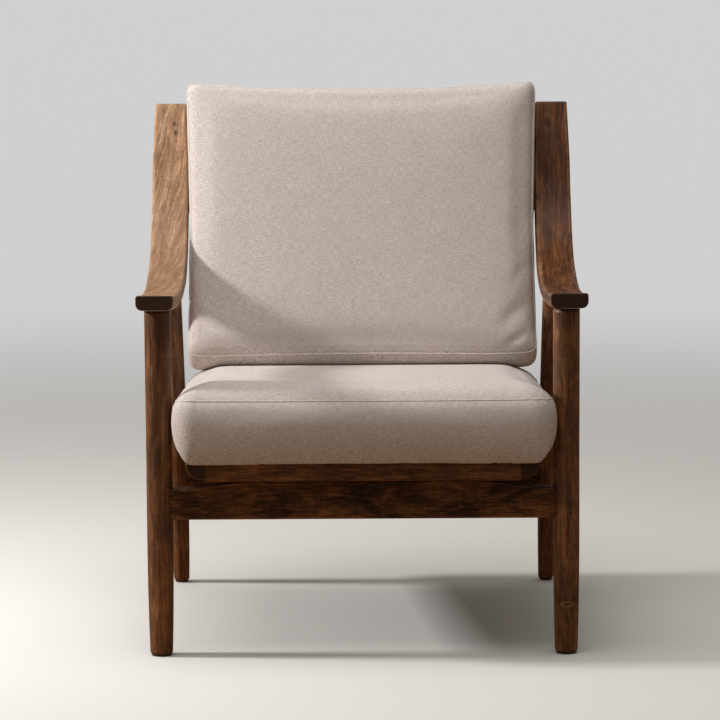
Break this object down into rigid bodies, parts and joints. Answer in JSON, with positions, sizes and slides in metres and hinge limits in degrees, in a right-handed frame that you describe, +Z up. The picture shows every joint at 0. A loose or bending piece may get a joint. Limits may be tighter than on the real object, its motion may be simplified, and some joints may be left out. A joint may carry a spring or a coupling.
{
  "type": "fireside chair",
  "caption": "Low wooden armchair: arms swept up into raked back uprights on round legs, a webbed seat frame, and loose seat and back cushions.",
  "frame": {"origin": "on the floor, under the middle of the whole chair's box", "axes": "+Z up, -Y towards the sitter's feet (the front), +X to the right as seen from the front"},
  "size_m": [0.6706, 0.6666, 0.8221],
  "materials": {
    "wood": "brown stained hardwood, satin, with knots and worn edges",
    "hidden_wood": "brown stained hardwood, sanded, unpolished",
    "cushion_fabric": "warm greige linen-look twill",
    "cushion_foam": "pale open-cell foam",
    "webbing": "elastic webbing, ribbed",
    "zip": "coil zip on woven tape",
    "screw_steel": "zinc plated",
    "glide_felt": "dense felt"
  },
  "bodies": {
    "chair_frame": {"arm_left": "wood", "arm_right": "wood", "back_crest_rail": "wood", "back_lower_rail": "wood", "back_slat_1": "wood", "back_slat_2": "wood", "back_slat_3": "wood", "back_slat_4": "wood", "back_slat_5": "wood", "corner_block_front_left": "hidden_wood", "corner_block_front_right": "hidden_wood", "corner_block_rear_left": "hidden_wood", "corner_block_rear_right": "hidden_wood", "frame_dowel_1": "hidden_wood", "frame_dowel_2": "hidden_wood", "frame_dowel_3": "hidden_wood", "frame_dowel_4": "hidden_wood", "frame_dowel_5": "hidden_wood", "frame_dowel_6": "hidden_wood", "frame_dowel_7": "hidden_wood", "frame_dowel_8": "hidden_wood", "frame_screw_1": "screw_steel", "frame_screw_2": "screw_steel", "frame_screw_3": "screw_steel", "frame_screw_4": "screw_steel", "front_glide_left": "glide_felt", "front_glide_right": "glide_felt", "front_leg_left": "wood", "front_leg_right": "wood", "front_stretcher": "wood", "rear_glide_left": "glide_felt", "rear_glide_right": "glide_felt", "rear_leg_left": "wood", "rear_leg_right": "wood", "rear_stretcher": "wood", "seat_front_rail": "wood", "seat_rear_rail": "wood", "seat_side_rail_left": "wood", "seat_side_rail_right": "wood", "webbing_strap_1": "webbing", "webbing_strap_2": "webbing", "webbing_strap_3": "webbing", "webbing_strap_4": "webbing", "webbing_strap_5": "webbing", "webbing_strap_6": "webbing", "webbing_strap_7": "webbing"},
    "seat_cushion": {"seat_cushion_cover": "cushion_fabric", "seat_cushion_foam": "cushion_foam", "seat_cushion_zip": "zip"},
    "back_cushion": {"back_cushion_cover": "cushion_fabric", "back_cushion_foam": "cushion_foam", "back_cushion_zip": "zip"}
  },
  "joints": [
    {"name": "seat_cushion_slide", "type": "slide", "parent": "chair_frame", "child": "seat_cushion", "axis": [0, -0.9971, 0.0765], "range_m": [0, 0.6]},
    {"name": "back_cushion_slide", "type": "slide", "parent": "chair_frame", "child": "back_cushion", "axis": [0, 0.3009, 0.9536], "range_m": [0, 0.48]}
  ]
}
